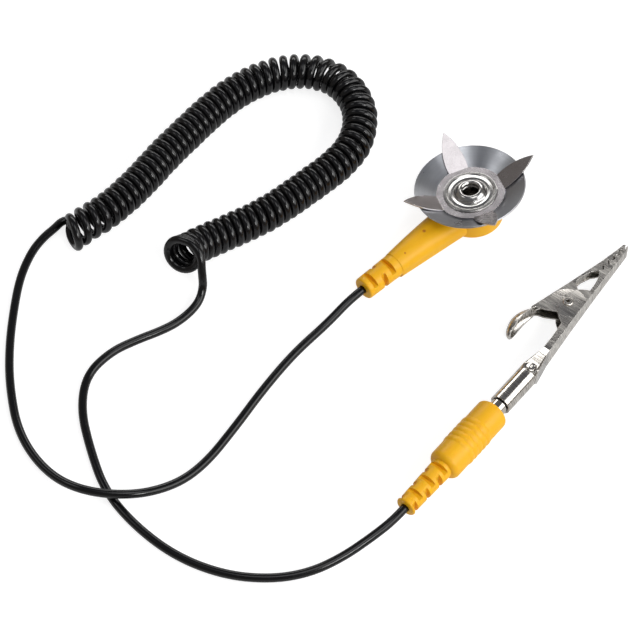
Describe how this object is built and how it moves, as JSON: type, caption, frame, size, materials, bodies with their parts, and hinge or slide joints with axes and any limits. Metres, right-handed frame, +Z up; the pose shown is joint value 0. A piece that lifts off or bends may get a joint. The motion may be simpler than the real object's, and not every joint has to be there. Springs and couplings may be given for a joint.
{
  "type": "coiled grounding lead",
  "caption": "Curly black earthing cord between a yellow snap head with a dished claw disc and a yellow banana plug carrying a crocodile clip.",
  "frame": {"origin": "on the bench under the centre of the snap head, in the middle of the head's flat underside", "axes": "+Z up from the bench; seen from above with the curls on the left and the clip on the right, +X to the right and +Y away from the viewer"},
  "size_m": [0.1579, 0.1585, 0.0162],
  "materials": {
    "yellow_pvc": "semi-matte moulded PVC",
    "cord_black": "glossy polyurethane jacket",
    "stainless_dish": "brushed stainless",
    "stainless_claws": "satin stainless",
    "stainless_eyelet": "bright rolled stainless",
    "nickel": "bright nickel plate",
    "clip_nickel": "nickel plate with fine scratches",
    "clip_rivet_nickel": "bright nickel plate",
    "spring_steel": "drawn spring steel",
    "tinned_brass": "tinned",
    "resistor_lacquer": "lacquer"
  },
  "bodies": {
    "lead": {"snap_head_moulding": "yellow_pvc", "socket_cup": "nickel", "socket_rivet": "nickel", "terminal_tag": "tinned_brass", "series_resistor": "resistor_lacquer", "splice_ferrule": "tinned_brass", "head_cord_end": "cord_black", "cord_tail_snap": "cord_black", "cord_coil": "cord_black", "cord_tail_plug": "cord_black", "plug_cord_end": "cord_black", "plug_moulding": "yellow_pvc", "banana_pin": "nickel"},
    "snap_ring": {"socket_spring": "spring_steel"},
    "claw_disc": {"dished_disc": "stainless_dish", "claw_plate": "stainless_claws", "centre_eyelet": "stainless_eyelet", "snap_stud": "nickel"},
    "spring_cage": {"banana_spring_cage": "spring_steel"},
    "clip": {"clip_fixed_jaw": "clip_nickel", "clip_rivet": "clip_rivet_nickel", "clip_torsion_spring": "spring_steel"},
    "jaw": {"clip_moving_jaw": "clip_nickel"}
  },
  "joints": [
    {"name": "snap_swivel", "type": "hinge", "parent": "lead", "child": "snap_ring", "pos_m": [0, 0, 0.0047], "axis": [-0.1285, 0.0893, 0.9877], "continuous": true},
    {"name": "snap_release", "type": "slide", "parent": "snap_ring", "child": "claw_disc", "axis": [-0.1285, 0.0893, 0.9877], "range_m": [0, 0.008], "deforming": ["socket_spring"]},
    {"name": "plug_turn", "type": "hinge", "parent": "lead", "child": "spring_cage", "pos_m": [0.00327, -0.06446, 0.0042], "axis": [0.6225, 0.7822, -0.0253], "continuous": true},
    {"name": "clip_pull", "type": "slide", "parent": "spring_cage", "child": "clip", "axis": [0.6225, 0.7822, -0.0253], "range_m": [0, 0.016]},
    {"name": "jaw_open", "type": "hinge", "parent": "clip", "child": "jaw", "pos_m": [0.02309, -0.03232, 0.00325], "axis": [0.0158, 0.0198, 0.9997], "range_deg": [0, 27], "stiffness_Nm_per_rad": 0.02, "springref_deg": -20.05, "deforming": ["clip_torsion_spring"]}
  ]
}
